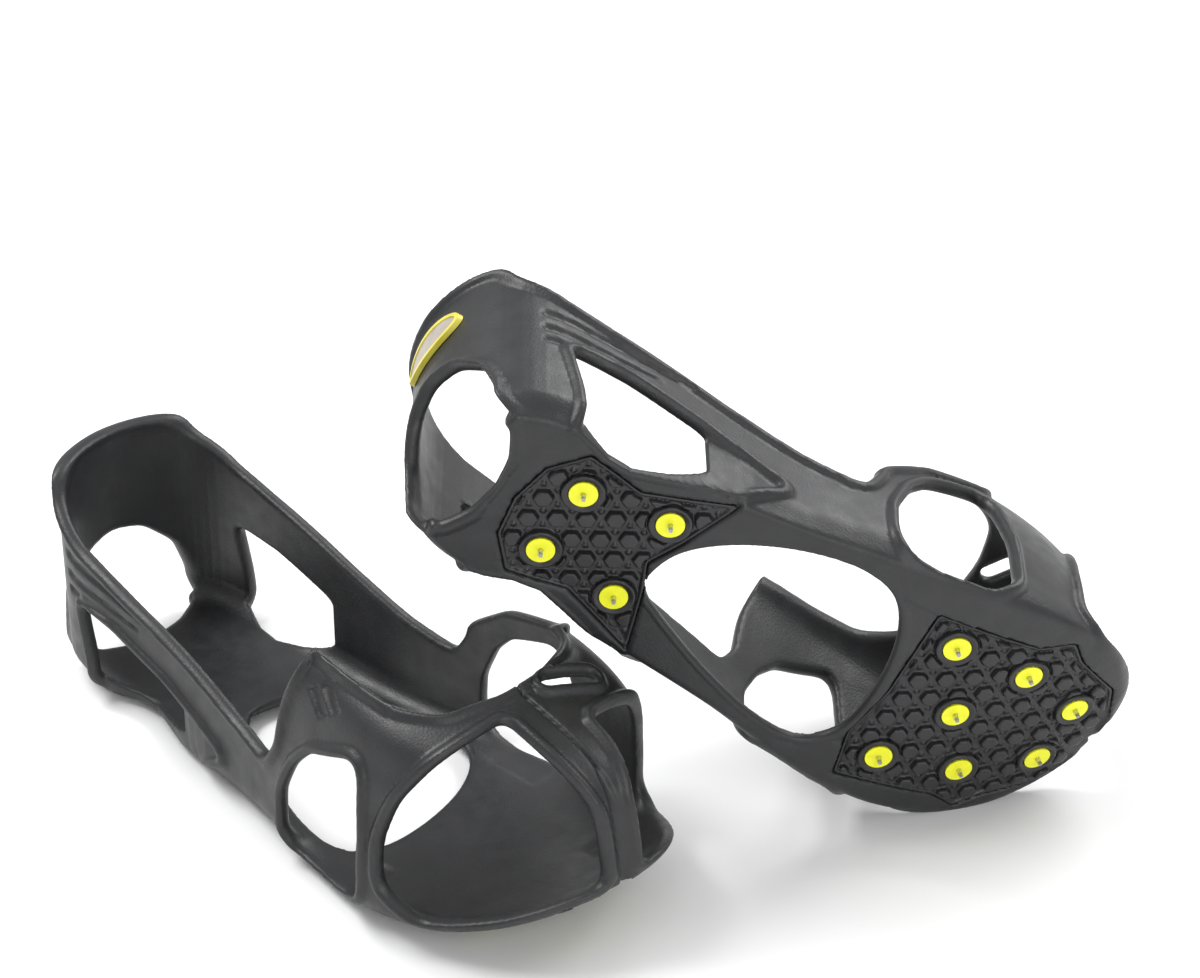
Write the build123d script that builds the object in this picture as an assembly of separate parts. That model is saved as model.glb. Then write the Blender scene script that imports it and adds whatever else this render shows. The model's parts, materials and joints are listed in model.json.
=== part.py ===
"""A pair of stretch-on ice cleats (overshoes) for winter boots, in their worn shape.

One cleat stands on its studs. Its mirror twin lies on its side against the floor, toe down.
Each cleat is drawn once in its own frame: X from the back of the heel to the toe, +Y to the
inner side of the foot, Z up, with Z = 0 at the face of the studs' collars. All sizes are in mm.
"""
from build123d import *
from math import asin, cos, degrees, hypot, radians, sin
import os

# ---------------------------------------------------------------- driving dimensions
WALL = 3.6                 # rubber wall of the harness
SOLE_UNDER = 1.0           # height of the sole frame's underside
SOLE_TOP = 5.0             # height of the sole frame's inner face
ROOF = 99.0                # outer height of the toe dome
SPRING_START = 190.0       # where the sole starts to curve up towards the toe
SPRING_R = 250.0           # radius of that curve
TOE_SPLIT = 158.0          # the sole flexes here, at the ball of the foot
CUP_SPLIT = 33.0           # the heel cup pulls back from here
SPLIT_GAP = 0.6            # room between two pieces of the moulding at a flex line

BALL = (217.0, -4.0)       # middle of the two widest forefoot studs
FLARE = 5.0                # the forefoot turns inwards by this many degrees
HEEL_STUDS = [(57.0, 14.8), (57.0, -14.8), (91.3, 19.4), (91.3, -19.4)]
FORE_STUDS = [(0, 29.7), (0, -29.7), (16.8, 0), (34, 26.2), (34, -26.2), (63, 13.9), (63, -13.9)]

COLLAR_R = 5.4
BOSS_R = 8.3
PIN_R = 0.95
TIP_R = 0.8
FLANGE_R = 4.0
PIN_END = -1.8             # lower end of the steel pin
TIP_END = -3.0             # lower end of the carbide tip, which stands on the ground
PAD_UNDER = 2.0
PAD_TOP = 3.0

HEEL_BACK_R = 48.0         # roundness of the back of the heel, seen from above
BADGE_Z = 69.0             # middle of the oval badge on the back of the heel
BADGE_WIDTH = 36.0
BADGE_HEIGHT = 15.0
BADGE_RIM = 1.8
BADGE_DEPTH = 0.5          # how deep the badge is rooted in the rubber

# outline of the rubber at its widest, seen from above
OUTLINE = [(0, 0), (7, 25), (26, 40), (62, 43), (100, 43.5), (135, 46), (170, 52), (203, 56),
           (232, 56.5), (260, 52), (281, 42), (295, 26), (300, 6), (297, -14), (285, -34),
           (265, -49), (237, -59), (208, -60.5), (178, -56), (148, -49), (110, -44.5),
           (62, -43), (26, -39.5), (7, -25)]
# height, and how far the dome has drawn in there: share of the width, and mm at the toe
DOME = [(SOLE_UNDER, 0.09, 7.0), (9.0, 0.015, 1.0), (22.0, 0.0, 0.0), (45.0, 0.025, 1.0),
        (66.0, 0.10, 7.0), (84.0, 0.23, 20.0), (ROOF, 0.50, 46.0)]
HEEL_ROUND = 5.0           # the heel's lower edge draws in by this much

# where the resting cleat lies, in the standing cleat's frame
LEAN_PIVOT = (138.0, 0, 0)                    # this point of the resting cleat ...
LEAN_AT = (288.3, 76.4, 105.7)                # ... is here
LEAN_TOE_DIRECTION = (0.568, 0.631, -0.528)
LEAN_UP_DIRECTION = (-0.7155, 0.696, 0.061)   # from its sole to its opening


# ---------------------------------------------------------------- helpers
def smooth(value, low, high):
    """0 below low, 1 above high, and a smooth rise between."""
    share = min(max((value - low) / (high - low), 0.0), 1.0)
    return share * share * (3 - 2 * share)


def prism(plane, points, low, high, curved=False):
    """A closed outline on a plane through the origin, extruded from low to high."""
    wire = Spline(*points, periodic=True) if curved else Polyline(*points, close=True)
    face = plane * make_face(wire)
    return extrude(face.moved(Location(plane.z_dir * low)), amount=high - low, dir=plane.z_dir)


def from_above(points, low, high, curved=False):
    return prism(Plane.XY, points, low, high, curved)


def from_side(points, low, high, curved=False):
    """Points are (x, z). The prism runs along Y from low to high."""
    return prism(Plane.XZ, points, -high, -low, curved)


def from_back(points, low, high, curved=False):
    """Points are (y, z). The prism runs along X from low to high."""
    return prism(Plane.YZ, points, low, high, curved)


def both_sides(points):
    """An outline with the same points again at -Y, to close a symmetric shape."""
    return points + [(x, -y) for x, y in reversed(points) if y != 0]


def fore(along, across):
    """A place on the forefoot, which is turned inwards about the ball."""
    c, s = cos(radians(FLARE)), sin(radians(FLARE))
    return (BALL[0] + along * c - across * s, BALL[1] + along * s + across * c)


def on_sole(x, y):
    """The frame of a stud: on the sole's curve, with Z square to it."""
    if x <= SPRING_START:
        return Location((x, y, 0))
    turn = asin((x - SPRING_START) / SPRING_R)
    return Location((x, y, SPRING_R * (1 - cos(turn))), (0, -degrees(turn), 0))


def above_sole(height, top=140.0):
    """Everything higher than the sole's curve moved up by height."""
    radius = SPRING_R - height
    middle = (SPRING_START + radius * sin(radians(15)), SPRING_R - radius * cos(radians(15)))
    end = (SPRING_START + radius * sin(radians(30)), SPRING_R - radius * cos(radians(30)))
    floor = Polyline((SPRING_START, height), (-20, height), (-20, top), (end[0], top), end)
    face = Plane.XZ * make_face([floor, ThreePointArc((SPRING_START, height), middle, end)])
    return extrude(face.moved(Location((0, 80, 0))), amount=160, dir=(0, -1, 0))


# ---------------------------------------------------------------- the harness
def level_outline(height_row, inset):
    """The outline at one height of the dome, moved inwards by inset."""
    height, narrow, draw_in = height_row
    count = len(OUTLINE)
    points = []
    for i, (x, y) in enumerate(OUTLINE):
        before, after = OUTLINE[i - 1], OUTLINE[(i + 1) % count]
        along = (after[0] - before[0], after[1] - before[1])
        size = hypot(*along)
        inwards = (along[1] / size, -along[0] / size)
        low_edge = HEEL_ROUND * (1 - smooth(height, SOLE_UNDER, 12.0)) * (1 - smooth(x, 60, 200))
        step = inset + low_edge
        share = 1 - narrow * smooth(x, 110, 190)
        new_x = x + inwards[0] * step - draw_in * smooth(x, 190, 300)
        new_y = y * share + inwards[1] * step
        points.append((new_x, new_y))
    return points


def dome(inset, rows):
    sections = []
    for row in rows:
        wire = Spline(*level_outline(row, inset), periodic=True)
        sections.append(make_face(wire).moved(Location((0, 0, row[0]))))
    return loft(sections)


# the band over the toes starts at the front edge of this opening
BOOT_OPENING = [(150, -38), (181, -38), (200, -40), (222, -40), (237, -31), (243, -8), (242, 14),
                (236, 31), (225, 38), (150, 38)]
ROOF_LINE = [(190, 97), (245, 87), (268, 82), (330, 68)]   # the band's height falls to the toe


def under_roof(inset):
    """Everything lower than the roof moved down by inset."""
    line = [(x, z - inset) for x, z in [(-20, ROOF)] + ROOF_LINE]
    return from_side([(-20, -20)] + line + [(330, -20)], -80, 80)


def shell():
    """The boot-shaped rubber shell before its windows are cut."""
    outer = dome(0.0, DOME) & above_sole(SOLE_UNDER) & under_roof(0.0)
    roof_inside = (ROOF - WALL, DOME[-1][1] - 0.04, DOME[-1][2] - 3.0)
    inner_rows = [(SOLE_TOP - 1, 0.02, 2.0)] + DOME[1:-1] + [roof_inside]
    cavity = dome(WALL, inner_rows) & above_sole(SOLE_TOP) & under_roof(WALL)
    return outer - cavity - from_above(BOOT_OPENING, 50, ROOF + 25)


SILHOUETTE = [(-6, -5), (-6, 91), (12, 91), (17, 82), (37, 71), (89, 57.5), (133, 43), (158, 37),
              (166, 50), (168, 70), (175, 92), (182, 110), (330, 110), (330, -5)]
# the inner side rises to the band further forward than the outer side
INNER_NOTCH = [(150, 37), (158, 38), (168, 56), (190, 73), (218, 80), (228, 92), (232, 130),
               (150, 130)]

CENTRE_WINDOW = [(98, -3), (103, 11), (118, 24), (140, 34), (163, 38), (181, 33), (193, 16),
                 (199, -8), (198, -29), (186, -41), (165, -40), (138, -31), (112, -19), (101, -12)]

HEEL_WINDOW_FLOOR = both_sides([(9, 27), (20, 25), (26.5, 13), (28.5, 0)])
HEEL_WINDOW_BACK = [(-29, -5), (-30, 14), (-26, 29), (-14, 40), (0, 43), (14, 40), (26, 29),
                    (30, 14), (29, -5)]

SIDE_WINDOW = [(36, 43), (41, 20), (44, -5), (97, -5), (108, 7), (125, 17), (90, 33), (60, 41)]
SIDE_WINDOW_WAIST = [(30, 38), (44, 37.5), (56, 33), (67, 32), (80, 36), (94, 41), (112, 44)]

BALL_WINDOW = [(171, 12), (172, 30), (180, 47), (190, 58), (215, 68), (218, 62), (221, 40),
               (220, 12), (212, 5), (190, 4), (176, 6)]

OUTER_TOE_WINDOW = [(232, 22), (232, 42), (237, 60), (247, 77), (260, 95), (330, 95), (330, 45),
                    (300, 33), (277, 22), (250, 13)]
INNER_TOE_WINDOW = [(256, 20), (258, 44), (262, 62), (268, 78), (274, 95), (330, 95), (330, 45),
                    (300, 33), (280, 22), (266, 16)]
STRAP_HALF_WIDTH = 9.0

GRIP_SLOT = (22.0, 6.0)
GRIP_SLOT_AT = (251.0, 20.0, 70.0)
GRIP_SLOT_TURN = 65.0


def windows():
    """All the holes through the rubber."""
    cuts = [from_above(CENTRE_WINDOW, -5, 12, curved=True),
            from_above(HEEL_WINDOW_FLOOR, -5, 12),
            from_back(HEEL_WINDOW_BACK, -9, 15)]
    for side in (1, -1):
        edges = [70 * side, STRAP_HALF_WIDTH * side]
        toe_window = INNER_TOE_WINDOW if side > 0 else OUTER_TOE_WINDOW
        cuts.append(from_side(toe_window, min(edges), max(edges)))
        waist = [(x, y * side) for x, y in SIDE_WINDOW_WAIST] + [(130, 44 * side), (130, 70 * side),
                                                                 (30, 70 * side)]
        lower = from_above(waist, -6, 70)
        cuts.append(from_side(SIDE_WINDOW, -70, 70) & lower)
        low, high = sorted([41 * side, 75 * side])
        cuts.append(from_side(BALL_WINDOW, low, high))
    slot = extrude(SlotOverall(*GRIP_SLOT), amount=30)
    cuts.append(slot.moved(Location(GRIP_SLOT_AT, (0, 0, GRIP_SLOT_TURN))))
    cuts.append(from_side(INNER_NOTCH, 0, 75))
    return cuts


# ---------------------------------------------------------------- the tread pads
HEEL_PAD = both_sides([(37, 0), (40, 17), (51, 30), (63, 28), (75, 25.5), (92, 32), (108, 39)])
HEEL_PAD_FRONT = [(109, 39), (100, 13), (94, 0), (100, -13), (109, -39)]
FORE_PAD = [(-14, 41), (31, 40), (43, 46), (51, 38), (73, 26), (82, 9), (82, -9), (73, -26),
            (51, -38), (43, -46), (31, -42), (-12, -44), (-17, -24), (-13, 0)]


def heel_pad_outline():
    """The heel pad's front edge is hollow, along the centre window."""
    back = [(x, y) for x, y in HEEL_PAD if x < 108]
    upper = [p for p in back if p[1] >= 0]
    lower = [p for p in back if p[1] < 0]
    return upper + HEEL_PAD_FRONT + lower


def pad_layer(points, low, high):
    return from_above(points, -10, 60) & above_sole(low) - above_sole(high)


def pads_and_recesses():
    """Each tread pad, and the recess in the sole frame that holds it."""
    result = {}
    studs = {"forefoot": [fore(*p) for p in FORE_STUDS], "heel": HEEL_STUDS}
    outlines = {"forefoot": [fore(*p) for p in FORE_PAD], "heel": heel_pad_outline()}
    for name, places in studs.items():
        pad = pad_layer(outlines[name], PAD_UNDER, PAD_TOP)
        recess = from_above(outlines[name], -10, 60) - above_sole(PAD_TOP)
        for x, y in places:
            boss = Cylinder(BOSS_R, PAD_TOP, align=(Align.CENTER, Align.CENTER, Align.MIN))
            pad = pad + boss.moved(on_sole(x, y)) - above_sole(PAD_TOP)
        for x, y in places:
            holes = cylinder_between(COLLAR_R, -1, 1.2) + cylinder_between(PIN_R + 0.05, 0, 6)
            holes = holes + cylinder_between(FLANGE_R + 0.05, PAD_UNDER, 6)
            pad = pad - holes.moved(on_sole(x, y))
        result[name] = (pad, recess, places)
    return result


def cylinder_between(radius, low, high):
    body = Cylinder(radius, high - low, align=(Align.CENTER, Align.CENTER, Align.MIN))
    return body.moved(Location((0, 0, low)))


def stud_group(places, make):
    return Compound([make().moved(on_sole(x, y)) for x, y in places])


def collar():
    ring = cylinder_between(COLLAR_R - 0.05, 0.2, 1.2) - cylinder_between(PIN_R + 0.05, -1, 2)
    return ring


def pin():
    return cylinder_between(PIN_R, PIN_END, 2.5) + cylinder_between(FLANGE_R, PAD_UNDER, 2.9)


def tip():
    return cylinder_between(TIP_R, TIP_END, PIN_END)


# ---------------------------------------------------------------- the heel badge
def badge():
    """An oval rim and the blank plate inside it, moulded onto the back of the heel."""
    across = Plane(origin=(0, 0, BADGE_Z), x_dir=(0, 1, 0), z_dir=(1, 0, 0))
    oval = extrude(across * Ellipse(BADGE_WIDTH / 2, BADGE_HEIGHT / 2), amount=20, both=True)
    middle = Ellipse(BADGE_WIDTH / 2 - BADGE_RIM, BADGE_HEIGHT / 2 - BADGE_RIM)
    middle = extrude(across * middle, amount=20, both=True)
    rim = (oval - middle) & heel_back(-1.5) - heel_back(BADGE_DEPTH)
    plate = middle & heel_back(-1.0) - heel_back(BADGE_DEPTH)
    return rim & rear_half(), plate & rear_half()


def rear_half():
    """The side of the heel that the badge is on."""
    return Box(40, 100, 100).moved(Location((-6, 0, BADGE_Z)))


def heel_back(depth):
    """The round back of the heel, moved in by depth."""
    body = Cylinder(HEEL_BACK_R - depth, 160)
    return body.moved(Location((HEEL_BACK_R - 0.7, 0, 60)))


# ---------------------------------------------------------------- one cleat
def slab(low, high):
    """Everything between two heights along the foot."""
    return Box(high - low, 200, 260).moved(Location(((low + high) / 2, 0, 60)))


def one_cleat():
    """Every sub-part of a right-foot cleat, by name, in the cleat's own frame."""
    harness = shell() & from_side(SILHOUETTE, -80, 80)
    for cut in windows():
        harness = harness - cut
    nodes = {}
    for name, (pad, recess, places) in pads_and_recesses().items():
        harness = harness - recess
        nodes[name + "_tread_pad"] = pad
        nodes[name + "_stud_collars"] = stud_group(places, collar)
        nodes[name + "_stud_pins"] = stud_group(places, pin)
        nodes[name + "_carbide_tips"] = stud_group(places, tip)
    rim, plate = badge()
    half = SPLIT_GAP / 2
    nodes["harness_toe"] = harness & slab(TOE_SPLIT + half, 400)
    nodes["harness_mid"] = harness & slab(CUP_SPLIT + half, TOE_SPLIT - half)
    nodes["harness_heel_cup"] = harness & slab(-60, CUP_SPLIT - half)
    nodes["heel_badge_rim"] = rim
    nodes["heel_badge_plate"] = plate
    return nodes


def lean(shape):
    """Mirror a sub-part for the other foot and lay it on its side."""
    pose = Plane(origin=LEAN_AT, x_dir=LEAN_TOE_DIRECTION, z_dir=LEAN_UP_DIRECTION).location
    other_foot = mirror(shape, about=Plane.XZ).moved(Location(tuple(-v for v in LEAN_PIVOT)))
    return other_foot.moved(pose)


def pair():
    """Both cleats on the floor, with the middle of their common box over the origin."""
    cleat = one_cleat()
    standing = {"standing_" + name: shape for name, shape in cleat.items()}
    leaning = {"leaning_" + name: lean(shape) for name, shape in cleat.items()}
    floor = TIP_END
    lowest = min(shape.bounding_box().min.Z for shape in leaning.values())
    drop = Location((0, 0, floor - lowest))
    leaning = {name: shape.moved(drop) for name, shape in leaning.items()}
    nodes = {**standing, **leaning}
    boxes = [shape.bounding_box() for shape in nodes.values()]
    middle_x = (min(b.min.X for b in boxes) + max(b.max.X for b in boxes)) / 2
    middle_y = (min(b.min.Y for b in boxes) + max(b.max.Y for b in boxes)) / 2
    centre = Location((-middle_x, -middle_y, -floor))
    print("standing frame is moved by", (-middle_x, -middle_y, -floor), "and the other drops by",
          floor - lowest)
    return {name: shape.moved(centre) for name, shape in nodes.items()}


if __name__ == "__main__":
    os.makedirs("parts", exist_ok=True)
    for node, shape in pair().items():
        export_step(shape, "parts/" + node + ".step")
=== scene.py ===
"""Looks of a pair of shoe ice cleats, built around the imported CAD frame."""
import json
import math

import bpy
import numpy as np
import openvdb as vdb
from mathutils import Matrix, Vector


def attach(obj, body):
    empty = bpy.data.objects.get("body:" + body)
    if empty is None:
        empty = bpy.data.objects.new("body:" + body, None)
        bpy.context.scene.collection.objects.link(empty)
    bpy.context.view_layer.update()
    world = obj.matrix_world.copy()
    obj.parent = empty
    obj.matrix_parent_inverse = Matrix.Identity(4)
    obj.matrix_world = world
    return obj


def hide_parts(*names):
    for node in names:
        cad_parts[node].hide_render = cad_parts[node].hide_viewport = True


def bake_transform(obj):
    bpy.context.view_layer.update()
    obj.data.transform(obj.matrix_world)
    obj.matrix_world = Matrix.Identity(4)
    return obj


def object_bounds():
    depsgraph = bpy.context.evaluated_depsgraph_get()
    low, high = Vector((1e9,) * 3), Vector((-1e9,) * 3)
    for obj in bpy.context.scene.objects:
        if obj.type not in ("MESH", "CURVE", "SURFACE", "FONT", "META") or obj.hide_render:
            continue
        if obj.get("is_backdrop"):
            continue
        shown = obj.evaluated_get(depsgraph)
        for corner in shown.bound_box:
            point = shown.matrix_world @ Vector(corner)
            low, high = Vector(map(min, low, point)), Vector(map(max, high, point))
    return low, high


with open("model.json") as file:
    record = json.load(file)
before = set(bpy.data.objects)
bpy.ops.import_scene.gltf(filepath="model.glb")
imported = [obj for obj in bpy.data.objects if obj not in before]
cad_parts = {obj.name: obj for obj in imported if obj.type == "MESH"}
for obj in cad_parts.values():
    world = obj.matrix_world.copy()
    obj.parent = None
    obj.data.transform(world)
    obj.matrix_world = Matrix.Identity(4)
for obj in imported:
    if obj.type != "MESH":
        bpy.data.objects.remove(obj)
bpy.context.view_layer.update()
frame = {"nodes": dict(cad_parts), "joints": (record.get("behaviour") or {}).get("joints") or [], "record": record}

# ---------------------------------------------------------------- sizes of one cleat, in mm
# A cleat's own frame: x from heel to toe, +y its inner side, z up from the collars' faces.
MM = 0.001
BALL_FLEX_AT = (158.0, 0.0, 38.0)
HEEL_PULL_AT = (33.0, 0.0, 1.0)
WALL = 3.6
SOLE_UNDER, SOLE_TOP = 1.0, 5.0
PAD_FLOOR, PAD_TOP = 2.4, 3.0   # the pad between its lugs
SPRING_START, SPRING_R = 190.0, 250.0
HEEL_ROUND = 5.0
COLLAR_R, BOSS_R = 5.4, 8.3
BALL = (217.0, -4.0)
FLARE = math.radians(5.0)
HEEL_STUDS = [(57.0, 14.8), (57.0, -14.8), (91.3, 19.4), (91.3, -19.4)]
FORE_STUDS = [(0, 29.7), (0, -29.7), (16.8, 0), (34, 26.2), (34, -26.2), (63, 13.9), (63, -13.9)]
OUTLINE = [(0, 0), (7, 25), (26, 40), (62, 43), (100, 43.5), (135, 46), (170, 52), (203, 56),
           (232, 56.5), (260, 52), (281, 42), (295, 26), (300, 6), (297, -14), (285, -34),
           (265, -49), (237, -59), (208, -60.5), (178, -56), (148, -49), (110, -44.5),
           (62, -43), (26, -39.5), (7, -25)]
# height, share of the width lost, mm drawn in at the toe
DOME = [(1.0, 0.09, 7.0), (9.0, 0.015, 1.0), (22.0, 0.0, 0.0), (45.0, 0.025, 1.0),
        (66.0, 0.10, 7.0), (84.0, 0.23, 20.0), (99.0, 0.50, 46.0)]
BOOT_OPENING = [(150, -38), (181, -38), (200, -40), (222, -40), (237, -31), (243, -8), (242, 14),
                (236, 31), (225, 38), (150, 38)]
ROOF_LINE = [(-20, 99), (190, 97), (245, 87), (268, 82), (330, 68)]
SILHOUETTE = [(-12, -15), (-12, 91), (12, 91), (17, 82), (37, 71), (89, 57.5), (133, 43), (158, 37),
              (166, 50), (168, 70), (175, 92), (184, 125), (330, 125), (330, -15)]
INNER_NOTCH = [(150, 37), (158, 38), (168, 56), (190, 73), (218, 80), (228, 92), (232, 130),
               (150, 130)]
CENTRE_WINDOW = [(98, -3), (103, 11), (118, 24), (140, 34), (163, 38), (181, 33), (193, 16),
                 (199, -8), (198, -29), (186, -41), (165, -40), (138, -31), (112, -19), (101, -12)]
HEEL_WINDOW_FLOOR = [(-12, 27), (9, 27), (20, 25), (26.5, 13), (28.5, 0), (26.5, -13), (20, -25),
                     (9, -27), (-12, -27)]
HEEL_WINDOW_BACK = [(-29, -15), (-30, 14), (-26, 29), (-14, 40), (0, 43), (14, 40), (26, 29),
                    (30, 14), (29, -15)]
SIDE_WINDOW = [(36, 43), (41, 20), (44, -15), (97, -15), (108, 7), (125, 17), (90, 33), (60, 41)]
SIDE_WAIST = [(30, 38), (44, 37.5), (56, 33), (67, 32), (80, 36), (94, 41), (112, 44), (130, 44),
              (130, 80), (30, 80)]
BALL_WINDOW = [(171, 12), (172, 30), (180, 47), (190, 58), (215, 68), (218, 62), (221, 40),
               (220, 12), (212, 5), (190, 4), (176, 6)]
OUTER_TOE_WINDOW = [(232, 22), (232, 42), (237, 60), (247, 77), (260, 95), (330, 95), (330, 45),
                    (300, 33), (277, 22), (250, 13)]
INNER_TOE_WINDOW = [(256, 20), (258, 44), (262, 62), (268, 78), (274, 95), (330, 95), (330, 45),
                    (300, 33), (280, 22), (266, 16)]
STRAP_HALF_WIDTH = 9.0
GRIP_SLOT_AT = (251.0, 20.0)
GRIP_SLOT_TURN = math.radians(65.0)
FACETS_AT = (191.0, 79.0)   # x and z of the diamond mark on the outer ear
HEEL_PAD = [(37, 0), (40, 17), (51, 30), (63, 28), (75, 25.5), (92, 32), (109, 39), (100, 13),
            (94, 0), (100, -13), (109, -39), (92, -32), (75, -25.5), (63, -28), (51, -30), (40, -17)]
FORE_PAD = [(-14, 41), (31, 40), (43, 46), (51, 38), (73, 26), (82, 9), (82, -9), (73, -26),
            (51, -38), (43, -46), (31, -42), (-12, -44), (-17, -24), (-13, 0)]

HARNESS_STEP = 1.0          # size of a cell when the rubber's shape is sampled
PAD_STEP = 0.55
BEAD_HEIGHT, BEAD_WIDTH = 2.3, 5.6
BEAD_FROM_EDGE = 2.5        # from a hole's edge to the middle of the bead round it
BEAD_UNDER_SOLE = 0.35      # share of the bead's height that is left under the sole
STRAP_FLARE, STRAP_FOOT = 5.0, 3.0
CUP_GROOVE_DEPTH, STRAP_GROOVE_DEPTH, FACET_DEPTH = 1.5, 1.6, 1.3
STRAP_GROOVE_AT, STRAP_GROOVE_LENGTH, STRAP_GROOVE_HALF = 48.0, 30.0, 3.6
# start and end of each groove as (x, z), and its half width
CUP_GROOVES = [((27, 62), (88, 54), 2.6), ((27, 53), (74, 49.5), 2.4), ((27, 45.5), (56, 46.5), 2.0)]
LUG_PITCH, LUG_HALF, LUG_HEIGHT = 10.6, 3.3, 2.3
DOT_R, DOT_HEIGHT = 0.9, 0.7
PAD_RIM_HEIGHT = 1.0
BOSS_LIP, POCKET_DEPTH = 0.5, 1.3
FAR = 99.0                  # a distance past everything that is tested against it


# ---------------------------------------------------------------- shapes as distance fields
def smooth(value, low, high):
    share = np.clip((value - low) / (high - low), 0.0, 1.0)
    return share * share * (3 - 2 * share)


def rounded_max(a, b, radius):
    """The larger of two fields, with the edge between them rounded."""
    near = np.clip(radius - np.abs(a - b), 0.0, None)
    return np.maximum(a, b) + near * near / (4 * radius)


def curve_through(points, steps=6):
    """A closed smooth curve through points."""
    p = np.array(points, float)
    before, after, beyond = np.roll(p, 1, 0), np.roll(p, -1, 0), np.roll(p, -2, 0)
    curve = []
    for i in range(len(p)):
        for t in np.arange(steps) / steps:
            curve.append(0.5 * (2 * p[i] + (after[i] - before[i]) * t
                                + (2 * before[i] - 5 * p[i] + 4 * after[i] - beyond[i]) * t ** 2
                                + (3 * p[i] - before[i] - 3 * after[i] + beyond[i]) * t ** 3))
    return np.array(curve)


def outline_distance(points, u, v):
    """Signed distance in a plane to a closed outline, negative inside it."""
    p = np.array(points, float)
    q = np.roll(p, -1, 0)
    best = np.full(u.shape, 1e9)
    inside = np.zeros(u.shape, bool)
    for (au, av), (bu, bv) in zip(p, q):
        du, dv = bu - au, bv - av
        t = np.clip(((u - au) * du + (v - av) * dv) / (du * du + dv * dv), 0, 1)
        best = np.minimum(best, (u - au - t * du) ** 2 + (v - av - t * dv) ** 2)
        if av != bv:
            crosses = ((av > v) != (bv > v)) & (u < (v - av) * du / dv + au)
            inside ^= crosses
    best = np.sqrt(best)
    return np.where(inside, -best, best)


def soften(plane, cells):
    """Blurs a plane of distances, which rounds the corners of its outline."""
    reach = int(math.ceil(3 * cells))
    kernel = np.exp(-0.5 * (np.arange(-reach, reach + 1) / cells) ** 2)
    kernel /= kernel.sum()
    for axis in (0, 1):
        size = plane.shape[axis]
        padding = [(0, 0), (0, 0)]
        padding[axis] = (reach, reach)
        padded = np.pad(plane, padding, mode="edge")
        plane = sum(w * np.take(padded, range(k, k + size), axis) for k, w in enumerate(kernel))
    return plane


def soften_line(values, reach):
    """A running mean, which rounds the corners of a line."""
    padded = np.pad(values, reach, mode="edge")
    return np.convolve(padded, np.ones(2 * reach + 1) / (2 * reach + 1), mode="valid")


def slopes(field, step):
    return np.stack(np.gradient(field, step))


def dome_value(z, column):
    """One column of DOME at any height, on a smooth curve through its rows."""
    rows = np.array(DOME)
    heights, values = rows[:, 0], rows[:, column]
    rates = np.gradient(values, heights)
    i = np.clip(np.searchsorted(heights, z) - 1, 0, len(heights) - 2)
    span = heights[i + 1] - heights[i]
    t = np.clip((z - heights[i]) / span, 0, 1)
    middle = ((2 * t ** 3 - 3 * t ** 2 + 1) * values[i] + (t ** 3 - 2 * t ** 2 + t) * span * rates[i]
              + (3 * t ** 2 - 2 * t ** 3) * values[i + 1] + (t ** 3 - t ** 2) * span * rates[i + 1])
    return middle + rates[-1] * np.clip(z - heights[-1], 0, None)


def height_over_sole(x, z):
    """Height above the sole's curve, which rises at the toe."""
    curved = SPRING_R - np.hypot(x - SPRING_START, SPRING_R - z)
    return np.where(x > SPRING_START, curved, z)


def fore(along, across):
    """A place on the forefoot, which is turned inwards about the ball."""
    c, s = math.cos(FLARE), math.sin(FLARE)
    return (BALL[0] + along * c - across * s, BALL[1] + along * s + across * c)


class Grid:
    """Sample points in a box, with planes of them for outlines."""

    def __init__(self, low, high, step):
        self.step = step
        self.low = np.array(low, float)
        counts = [int((b - a) / step) + 1 for a, b in zip(low, high)]
        self.axes = [a + step * np.arange(n) for a, n in zip(low, counts)]
        self.x, self.y, self.z = np.meshgrid(*self.axes, indexing="ij", sparse=True)

    def plane(self, points, across, rounding=0.0):
        """Distance to an outline drawn square to the axis `across`, ready for broadcasting."""
        u, v = [self.axes[i] for i in range(3) if i != across]
        flat = outline_distance(points, *np.meshgrid(u, v, indexing="ij"))
        if rounding:
            flat = soften(flat, rounding / self.step)
        return np.expand_dims(flat, across)

    def mesh(self, field):
        """Points in mm and quads of the surface where the field is zero."""
        limit = 3 * self.step
        volume = vdb.FloatGrid(limit)
        volume.copyFromArray(np.clip(field, -limit, limit).astype(np.float32))
        points, quads = volume.convertToQuads(0.0)
        return points * self.step + self.low, quads


def outer_surface(grid):
    """Distance to the boot-shaped outer surface, negative inside it."""
    x, z = np.meshgrid(grid.axes[0], grid.axes[2], indexing="ij")
    source_x = x.copy()
    for _ in range(14):
        source_x = x + dome_value(z, 2) * smooth(source_x, 190, 300)
    share = 1 - dome_value(z, 1) * smooth(source_x, 110, 190)
    low_edge = HEEL_ROUND * (1 - smooth(z, 1, 12)) * (1 - smooth(x, 60, 200))
    curve = curve_through(OUTLINE)
    # the outline's distances, every mm over a sheet from (-40, -150), to be looked up
    flat_x, flat_y = np.arange(-40.0, 400.0), np.arange(-150.0, 150.0)
    flat = outline_distance(curve, *np.meshgrid(flat_x, flat_y, indexing="ij"))
    u = np.broadcast_to(source_x[:, None, :], [len(axis) for axis in grid.axes])
    v = grid.y / share[:, None, :]
    u = np.clip(u - flat_x[0], 0, len(flat_x) - 2)
    v = np.clip(v - flat_y[0], 0, len(flat_y) - 2)
    i, j = u.astype(int), v.astype(int)
    s, t = u - i, v - j
    field = ((flat[i, j] * (1 - s) + flat[i + 1, j] * s) * (1 - t)
             + (flat[i, j + 1] * (1 - s) + flat[i + 1, j + 1] * s) * t)
    field = field + low_edge[:, None, :]
    steepness = np.sqrt((slopes(field, grid.step) ** 2).sum(0))
    return field / np.clip(steepness, 0.35, 2.5)


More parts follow.
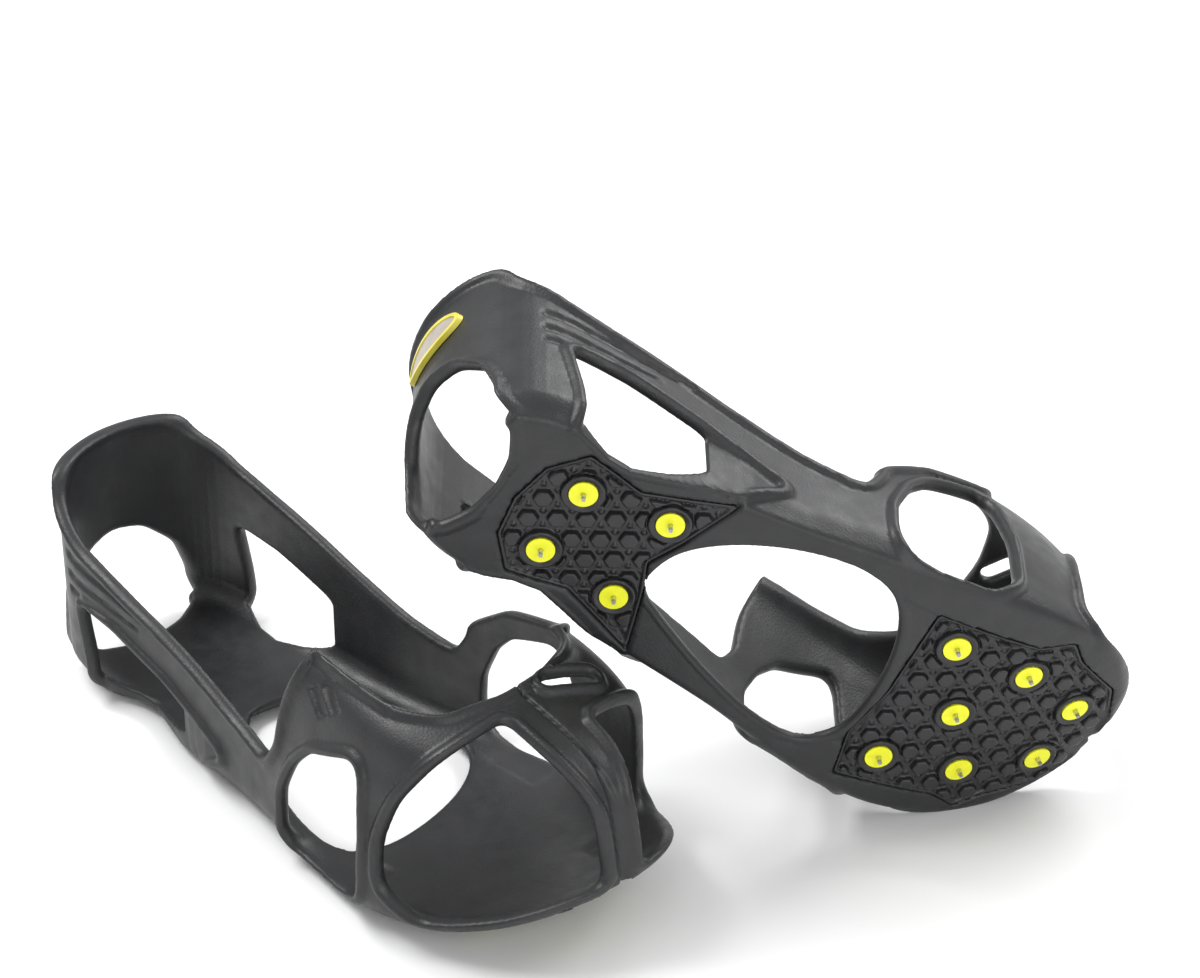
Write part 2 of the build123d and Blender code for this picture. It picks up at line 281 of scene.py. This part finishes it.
def grip_slot(grid):
    """Distance to the long slot in the inner ear, negative inside it."""
    x, y = GRIP_SLOT_AT
    c, s = math.cos(GRIP_SLOT_TURN), math.sin(GRIP_SLOT_TURN)
    along = np.clip(np.abs((grid.x - x) * c + (grid.y - y) * s) - 8.0, 0, None)
    across = (grid.y - y) * c - (grid.x - x) * s
    return np.maximum(np.hypot(along, across) - 3.0, 70 - grid.z)


def ear_facets(grid):
    """How deep the outer ear's diamond mark is, from 0 to 1; a ridge crosses it."""
    along, up = grid.x - FACETS_AT[0], grid.z - FACETS_AT[1]
    diamond = 1 - np.abs(along) / 10.0 - np.abs(up) / 7.0
    ridge = np.abs(0.6 * along + up)
    return smooth(diamond, 0.0, 0.15) * smooth(ridge, 0.6, 1.6) * (grid.y < 0)


def windows(grid):
    """Distance from the edge of every hole, positive in the rubber."""
    side = np.abs(grid.y)
    strap = (STRAP_HALF_WIDTH + STRAP_FLARE * smooth(grid.z, 58, 84)
             + STRAP_FOOT * (1 - smooth(grid.z, 14, 34)))
    holes = [
        -grid.plane(SILHOUETTE, 1, 3.0),
        rounded_max(grid.plane(BOOT_OPENING, 2, 4.0), 50 - grid.z, 4.0),
        np.maximum(grid.plane(curve_through(CENTRE_WINDOW), 2), grid.z - 14),
        np.maximum(grid.plane(HEEL_WINDOW_FLOOR, 2, 2.0), grid.z - 14),
        np.maximum(grid.plane(HEEL_WINDOW_BACK, 0, 2.5), grid.x - 17),
        rounded_max(grid.plane(SIDE_WINDOW, 1, 2.0), side_of_waist(grid), 2.0),
        np.maximum(grid.plane(BALL_WINDOW, 1, 3.0), 38 - side),
        rounded_max(grid.plane(INNER_TOE_WINDOW, 1, 3.5), strap - grid.y, 5.0),
        rounded_max(grid.plane(OUTER_TOE_WINDOW, 1, 3.5), strap + grid.y, 5.0),
        np.maximum(grid.plane(INNER_NOTCH, 1, 3.0), -grid.y),
        grip_slot(grid),
    ]
    edge = holes[0]
    for hole in holes[1:]:
        edge = np.minimum(edge, hole)
    return edge


def side_of_waist(grid):
    """Distance in plan to the side window's inner limit, the same on both sides."""
    flat = outline_distance(SIDE_WAIST, *np.meshgrid(grid.axes[0], np.abs(grid.axes[1]), indexing="ij"))
    return flat[:, :, None]


def groove_line(grid, start, end, width):
    """How deep a tapering groove is on the cup's sides, from 0 to 1."""
    du, dv = end[0] - start[0], end[1] - start[1]
    t = ((grid.x - start[0]) * du + (grid.z - start[1]) * dv) / (du * du + dv * dv)
    held = np.clip(t, 0, 1)
    away = np.hypot(grid.x - start[0] - held * du, grid.z - start[1] - held * dv)
    half = width * (1 - 0.75 * held)
    return np.clip(1 - (away / half) ** 2, 0, None)


def relief(grid, edge):
    """How far the rubber stands out from the plain surface, in mm."""
    across_bead = (edge - BEAD_FROM_EDGE) / (BEAD_WIDTH / 2)
    bead = np.clip(1 - across_bead ** 2, 0, None) ** 0.9 * BEAD_HEIGHT
    above_underside = smooth(height_over_sole(grid.x, grid.z), 1.0, 6.0)
    raised = bead * (BEAD_UNDER_SOLE + (1 - BEAD_UNDER_SOLE) * above_underside)
    for start, end, width in CUP_GROOVES:
        raised = raised - CUP_GROOVE_DEPTH * groove_line(grid, start, end, width)
    along_lens = (grid.z - STRAP_GROOVE_AT) / STRAP_GROOVE_LENGTH
    lens = STRAP_GROOVE_HALF * np.clip(1 - along_lens ** 2, 0, None)
    in_lens = np.clip(1 - (np.abs(grid.y) / np.clip(lens, 0.01, None)) ** 2, 0, None)
    in_front = (grid.x > 230) * in_lens
    return raised - STRAP_GROOVE_DEPTH * in_front - FACET_DEPTH * ear_facets(grid)


def harness_shape():
    """The whole rubber moulding of one cleat."""
    grid = Grid((-7, -67, -3), (309, 65, 113), HARNESS_STEP)
    outer = outer_surface(grid)
    sole = height_over_sole(grid.x, grid.z)
    edge = windows(grid)
    normal = slopes(outer, grid.step)
    tilt = slopes(edge, grid.step)
    along = (normal * tilt).sum(0) / np.clip((normal ** 2).sum(0), 0.1, None)
    spread = np.sqrt(((tilt - along * normal) ** 2).sum(0))
    even_edge = edge / np.clip(spread, 0.45, 1.2)
    line = np.array(ROOF_LINE, float)
    roof_height = soften_line(np.interp(grid.x.ravel(), line[:, 0], line[:, 1]), 8)
    roof = grid.z - roof_height.reshape(-1, 1, 1)
    plain = rounded_max(rounded_max(outer, SOLE_UNDER - sole, 3.0), roof, 14.0)
    body = plain - relief(grid, even_edge)
    cavity = rounded_max(rounded_max(outer + WALL, SOLE_TOP - sole, 5.0), roof + WALL, 13.0)
    rubber = rounded_max(body, -cavity, 0.8)
    rubber = rounded_max(rubber, -edge, 2.2)
    for outline in (HEEL_PAD, [fore(*p) for p in FORE_PAD]):
        recess = np.maximum(grid.plane(outline, 2) - 0.4, sole - PAD_TOP)
        rubber = np.maximum(rubber, -recess)
    return grid.mesh(rubber)


def arc_length(x, z):
    """Distance along the sole's curve, so that round things on it stay round."""
    turn = np.arctan2(x - SPRING_START, SPRING_R - z)
    return np.where(x > SPRING_START, SPRING_START + SPRING_R * turn, x)


def pad_shape(outline, studs):
    """A tread pad: hexagonal lugs and dots, and a ringed boss round each stud."""
    flat = np.array(outline)
    low = (flat[:, 0].min() - 2, flat[:, 1].min() - 2, -1.5)
    high = (flat[:, 0].max() + 2, flat[:, 1].max() + 2, 24.0 if flat[:, 0].max() > 200 else 5.0)
    grid = Grid(low, high, PAD_STEP)
    border = grid.plane(outline, 2, 0.8)
    sole = height_over_sole(grid.x, grid.z)
    along = arc_length(grid.x, grid.z)
    row_gap = LUG_PITCH * math.sqrt(3) / 2
    lug = np.full(np.broadcast_shapes(along.shape, grid.y.shape), FAR)
    dot = lug.copy()
    for shift in (0.0, 0.5):
        u = (along + shift * 2 * row_gap) % (2 * row_gap) - row_gap
        v = (grid.y + shift * LUG_PITCH) % LUG_PITCH - LUG_PITCH / 2
        hexagon = np.maximum(np.abs(u) * 0.5 + np.abs(v) * 0.866, np.abs(u)) - LUG_HALF
        lug = np.minimum(lug, hexagon)
        for side in (-1, 1):
            dot = np.minimum(dot, np.hypot(u + side * LUG_PITCH / math.sqrt(3), v) - DOT_R)
    radius = np.full(lug.shape, FAR)
    for x, y in studs:
        rise = max(x - SPRING_START, 0.0) / SPRING_R
        middle = min(x, SPRING_START) + SPRING_R * math.asin(rise)
        radius = np.minimum(radius, np.hypot(along - middle, grid.y - y))
    free = smooth(radius, BOSS_R + 0.3, BOSS_R + 1.2) * smooth(-border, 1.6, 2.4)
    lugs = LUG_HEIGHT * smooth(-lug, -0.3, 0.3) * free
    dots = DOT_HEIGHT * smooth(-dot, -0.3, 0.3) * free
    raised = np.maximum(lugs + dots, PAD_RIM_HEIGHT * smooth(border, -1.5, -1.0))
    inside_boss = smooth(BOSS_R - radius, -0.3, 0.3)
    lip = BOSS_LIP * np.clip(1 - ((radius - BOSS_R + 0.9) / 0.9) ** 2, 0, None)
    pocket = POCKET_DEPTH * smooth(COLLAR_R - radius, -0.2, 0.1)
    boss = (PAD_FLOOR - 0.35) * inside_boss
    under = PAD_FLOOR - (np.maximum(raised * (1 - inside_boss), boss) + lip - pocket)
    pad = rounded_max(np.maximum(border, sole - PAD_TOP), under - sole, 0.4)
    return grid.mesh(pad)


# ---------------------------------------------------------------- from a cleat's own frame to the pair
joints = {joint["name"]: joint for joint in frame["joints"]}


class Cleat:
    """Where one cleat is. The resting cleat is the other's mirror image."""

    def __init__(self, name, mirrored):
        self.name = name
        self.mirrored = mirrored
        flex, pull = joints[name + "_ball_flex"], joints[name + "_heel_pull"]
        across = Vector(flex["axis"]).normalized()
        chord = (Vector(flex["pos_m"]) - Vector(pull["pos_m"])).normalized()
        square = across.cross(chord)
        rise = math.atan2(BALL_FLEX_AT[2] - HEEL_PULL_AT[2], BALL_FLEX_AT[0] - HEEL_PULL_AT[0])
        forward = math.cos(rise) * chord + math.sin(rise) * square
        up = math.sin(rise) * chord - math.cos(rise) * square
        turned = Matrix((forward, across, up)).transposed()
        self.turn = np.array(turned)
        self.origin = np.array(flex["pos_m"]) - self.turn @ (MM * np.array(BALL_FLEX_AT))

    def place(self, points):
        """Points of the cleat's own frame, in mm, as points of the row frame, in m."""
        points = np.array(points, float).reshape(-1, 3) * MM
        if self.mirrored:
            points[:, 1] *= -1
        return points @ self.turn.T + self.origin

    def direct(self, directions):
        directions = np.array(directions, float).reshape(-1, 3)
        if self.mirrored:
            directions = directions * (1, -1, 1)
        return directions @ self.turn.T


CLEATS = [Cleat("standing", False), Cleat("leaning", True)]


def vertex_normals(points, faces):
    """Smooth normals of a mesh, each corner weighted by its face's area."""
    a, b, c, d = [points[faces[:, i]] for i in range(4)]
    square = np.cross(c - a, d - b)
    normals = np.zeros(points.shape)
    for i in range(4):
        np.add.at(normals, faces[:, i], square)
    return normals / np.clip(np.linalg.norm(normals, axis=1, keepdims=True), 1e-12, None)


def outward(points, faces):
    """Faces turned so that they look out of the solid."""
    a, b, c, d = [points[faces[:, i]] for i in range(4)]
    volume = (a * np.cross(b, c)).sum() + (a * np.cross(c, d)).sum()
    return faces if volume > 0 else faces[:, ::-1]


def add_piece(name, points, faces, material, normals=None):
    mesh = bpy.data.meshes.new(name)
    mesh.from_pydata(points.tolist(), [], faces.tolist())
    mesh.polygons.foreach_set("use_smooth", [True] * len(mesh.polygons))
    mesh.materials.append(material)
    if normals is not None:
        mesh.normals_split_custom_set_from_vertices(normals.tolist())
    piece = bpy.data.objects.new(name, mesh)
    bpy.context.scene.collection.objects.link(piece)
    return piece


def part_of(points, faces, normals, keep):
    """The faces that `keep` marks, with only the points they use."""
    faces = faces[keep]
    used, renumbered = np.unique(faces, return_inverse=True)
    return points[used], renumbered.reshape(faces.shape), normals[used]


# ---------------------------------------------------------------- materials
def new_material(name, color, roughness, metallic=0.0):
    material = bpy.data.materials.new(name)
    material.use_nodes = True
    shader = material.node_tree.nodes["Principled BSDF"]
    shader.inputs["Base Color"].default_value = (*color, 1)
    shader.inputs["Roughness"].default_value = roughness
    shader.inputs["Metallic"].default_value = metallic
    return material, shader


def texture(material, kind, scale, **values):
    tree = material.node_tree
    place = tree.nodes.new("ShaderNodeTexCoord")
    node = tree.nodes.new(kind)
    node.inputs["Scale"].default_value = scale
    for socket, value in values.items():
        node.inputs[socket].default_value = value
    tree.links.new(place.outputs["Object"], node.inputs["Vector"])
    return node


def vary(material, shader, socket, source, low, high):
    """Feeds a shader's socket from a texture's value, between two plain values."""
    tree = material.node_tree
    ramp = tree.nodes.new("ShaderNodeMapRange")
    ramp.inputs["From Min"].default_value = 0.3
    ramp.inputs["From Max"].default_value = 0.7
    ramp.inputs["To Min"].default_value = low
    ramp.inputs["To Max"].default_value = high
    tree.links.new(source, ramp.inputs["Value"])
    tree.links.new(ramp.outputs["Result"], shader.inputs[socket])


def tint(material, shader, source, dark, light):
    tree = material.node_tree
    mix = tree.nodes.new("ShaderNodeValToRGB")
    mix.color_ramp.elements[0].position = 0.3
    mix.color_ramp.elements[1].position = 0.7
    mix.color_ramp.elements[0].color = (*dark, 1)
    mix.color_ramp.elements[1].color = (*light, 1)
    tree.links.new(source, mix.inputs["Fac"])
    tree.links.new(mix.outputs["Color"], shader.inputs["Base Color"])


def roughen(material, shader, source, strength, distance):
    tree = material.node_tree
    bump = tree.nodes.new("ShaderNodeBump")
    bump.inputs["Strength"].default_value = strength
    bump.inputs["Distance"].default_value = distance
    tree.links.new(source, bump.inputs["Height"])
    tree.links.new(bump.outputs["Normal"], shader.inputs["Normal"])


def rubber_material(name, dark, light, roughness, grain, depth):
    material, shader = new_material(name, light, roughness)
    cloud = texture(material, "ShaderNodeTexNoise", 60.0, Detail=5.0)
    tint(material, shader, cloud.outputs["Fac"], dark, light)
    patches = texture(material, "ShaderNodeTexNoise", 140.0, Detail=6.0)
    vary(material, shader, "Roughness", patches.outputs["Fac"], roughness - 0.05, roughness + 0.07)
    pebbles = texture(material, "ShaderNodeTexVoronoi", grain)
    roughen(material, shader, pebbles.outputs["Distance"], 0.35, depth)
    return material


def plastic_material(name, dark, light, roughness):
    material, shader = new_material(name, light, roughness)
    cloud = texture(material, "ShaderNodeTexNoise", 220.0, Detail=4.0)
    tint(material, shader, cloud.outputs["Fac"], dark, light)
    vary(material, shader, "Roughness", cloud.outputs["Fac"], roughness - 0.04, roughness + 0.06)
    fine = texture(material, "ShaderNodeTexNoise", 1600.0, Detail=3.0)
    roughen(material, shader, fine.outputs["Fac"], 0.2, 0.00008)
    return material


def metal_material(name, dark, light, roughness):
    material, shader = new_material(name, light, roughness, metallic=1.0)
    cloud = texture(material, "ShaderNodeTexNoise", 900.0, Detail=5.0)
    tint(material, shader, cloud.outputs["Fac"], dark, light)
    vary(material, shader, "Roughness", cloud.outputs["Fac"], roughness - 0.05, roughness + 0.1)
    roughen(material, shader, cloud.outputs["Fac"], 0.25, 0.00005)
    return material


MATERIALS = {
    "harness_rubber": rubber_material("harness_rubber", (0.011, 0.0115, 0.0125), (0.018, 0.0185, 0.020),
                                      0.44, 1100.0, 0.00016),
    "tread_rubber": rubber_material("tread_rubber", (0.010, 0.010, 0.011), (0.016, 0.016, 0.018),
                                    0.38, 1500.0, 0.00008),
    "yellow_plastic": plastic_material("yellow_plastic", (0.78, 0.80, 0.01), (0.88, 0.88, 0.015), 0.34),
    "stud_steel": metal_material("stud_steel", (0.52, 0.52, 0.53), (0.66, 0.66, 0.67), 0.24),
    "carbide": metal_material("carbide", (0.30, 0.30, 0.32), (0.44, 0.44, 0.46), 0.36),
    "badge_yellow": plastic_material("badge_yellow", (0.60, 0.53, 0.05), (0.70, 0.62, 0.08), 0.36),
    "badge_grey": plastic_material("badge_grey", (0.34, 0.31, 0.27), (0.42, 0.38, 0.33), 0.45),
}


# ---------------------------------------------------------------- the pieces
REAR_SEAM = 100.0           # where the moulding's rear and front pieces meet
FLEX_HALF, PULL_HALF = 26.0, 17.0


def add_harness(shape):
    points, quads = shape
    quads = outward(points, quads)
    normals = vertex_normals(points, quads)
    ahead = points[quads][:, :, 0].mean(1) > REAR_SEAM
    for cleat in CLEATS:
        name = cleat.name
        faces = quads[:, ::-1] if cleat.mirrored else quads
        joined = [("front", ahead, "toe", "mid", BALL_FLEX_AT[0], FLEX_HALF, 38.0),
                  ("rear", ~ahead, "mid", "cup", HEEL_PULL_AT[0], PULL_HALF, 1.0)]
        for label, keep, fixed, moving, at, half, height in joined:
            own = part_of(points, faces, normals, keep)
            piece = add_piece(f"{name}_harness_{label}", cleat.place(own[0]), own[1],
                              MATERIALS["harness_rubber"], cleat.direct(own[2]))
            start, end = cleat.place([(at + half, 0, height), (at - half, 0, height)])
            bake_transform(piece)
            if label == "front":
                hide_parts(name + "_harness_toe")
            else:
                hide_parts(name + "_harness_mid", name + "_harness_heel_cup")


def add_pad(shape, label, body):
    points, quads = shape
    quads = outward(points, quads)
    for cleat in CLEATS:
        faces = quads[:, ::-1] if cleat.mirrored else quads
        piece = add_piece(f"{cleat.name}_{label}_tread", cleat.place(points), faces,
                          MATERIALS["tread_rubber"])
        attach(piece, f"{cleat.name}_{body}")
        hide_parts(f"{cleat.name}_{label}_tread_pad")


add_harness(harness_shape())
add_pad(pad_shape(HEEL_PAD, HEEL_STUDS), "heel", "mid")
add_pad(pad_shape([fore(*p) for p in FORE_PAD], [fore(*p) for p in FORE_STUDS]), "forefoot", "toe")

slots = {part["node"]: part["material_slot"] for part in frame["record"]["subparts"]}
for name, node in frame["nodes"].items():
    node.data.materials.clear()
    node.data.materials.append(MATERIALS[slots[name]])


# ---------------------------------------------------------------- floor, light and camera
LENS = 111.9                # mm, on a 36 mm sensor
CAMERA_AT = (0.8625, -0.8425, 0.8987)
CAMERA_TOWARDS = (-0.1100, 0.1282, 0.0030)
FLOOR_HALF = 6.0


def add_floor():
    half = FLOOR_HALF
    corners = [(-half, -half, 0), (half, -half, 0), (half, half, 0), (-half, half, 0)]
    mesh = bpy.data.meshes.new("floor")
    mesh.from_pydata(corners, [], [(0, 1, 2, 3)])
    material, _ = new_material("floor", (0.86, 0.86, 0.86), 0.6)
    mesh.materials.append(material)
    floor = bpy.data.objects.new("floor", mesh)
    bpy.context.scene.collection.objects.link(floor)
    floor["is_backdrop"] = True


def add_light(name, place, target, size, power):
    light = bpy.data.lights.new(name, "AREA")
    light.shape = "RECTANGLE"
    light.size, light.size_y = size
    light.energy = power
    lamp = bpy.data.objects.new(name, light)
    lamp.location = place
    lamp.rotation_euler = (Vector(target) - Vector(place)).to_track_quat("-Z", "Y").to_euler()
    bpy.context.scene.collection.objects.link(lamp)


def add_camera():
    optics = bpy.data.cameras.new("camera")
    optics.sensor_width = 36.0
    optics.lens = LENS
    camera = bpy.data.objects.new("camera", optics)
    camera.location = CAMERA_AT
    view = Vector(CAMERA_TOWARDS) - camera.location
    camera.rotation_euler = view.to_track_quat("-Z", "Y").to_euler()
    bpy.context.scene.collection.objects.link(camera)
    bpy.context.scene.camera = camera


add_floor()
low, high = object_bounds()
middle = (Vector(low) + Vector(high)) / 2
add_light("key", middle + Vector((-0.9, -0.5, 1.5)), middle, (1.1, 0.7), 30.0)
add_light("back", middle + Vector((0.1, 1.3, 1.1)), middle, (1.6, 0.7), 22.0)
add_light("front", middle + Vector((1.3, -0.6, 0.7)), middle, (1.0, 1.0), 9.0)
add_camera()

world = bpy.data.worlds.new("studio")
world.use_nodes = True
world.node_tree.nodes["Background"].inputs["Color"].default_value = (0.95, 0.95, 0.96, 1)
world.node_tree.nodes["Background"].inputs["Strength"].default_value = 0.62
bpy.context.scene.world = world
bpy.context.scene.view_settings.view_transform = "Standard"
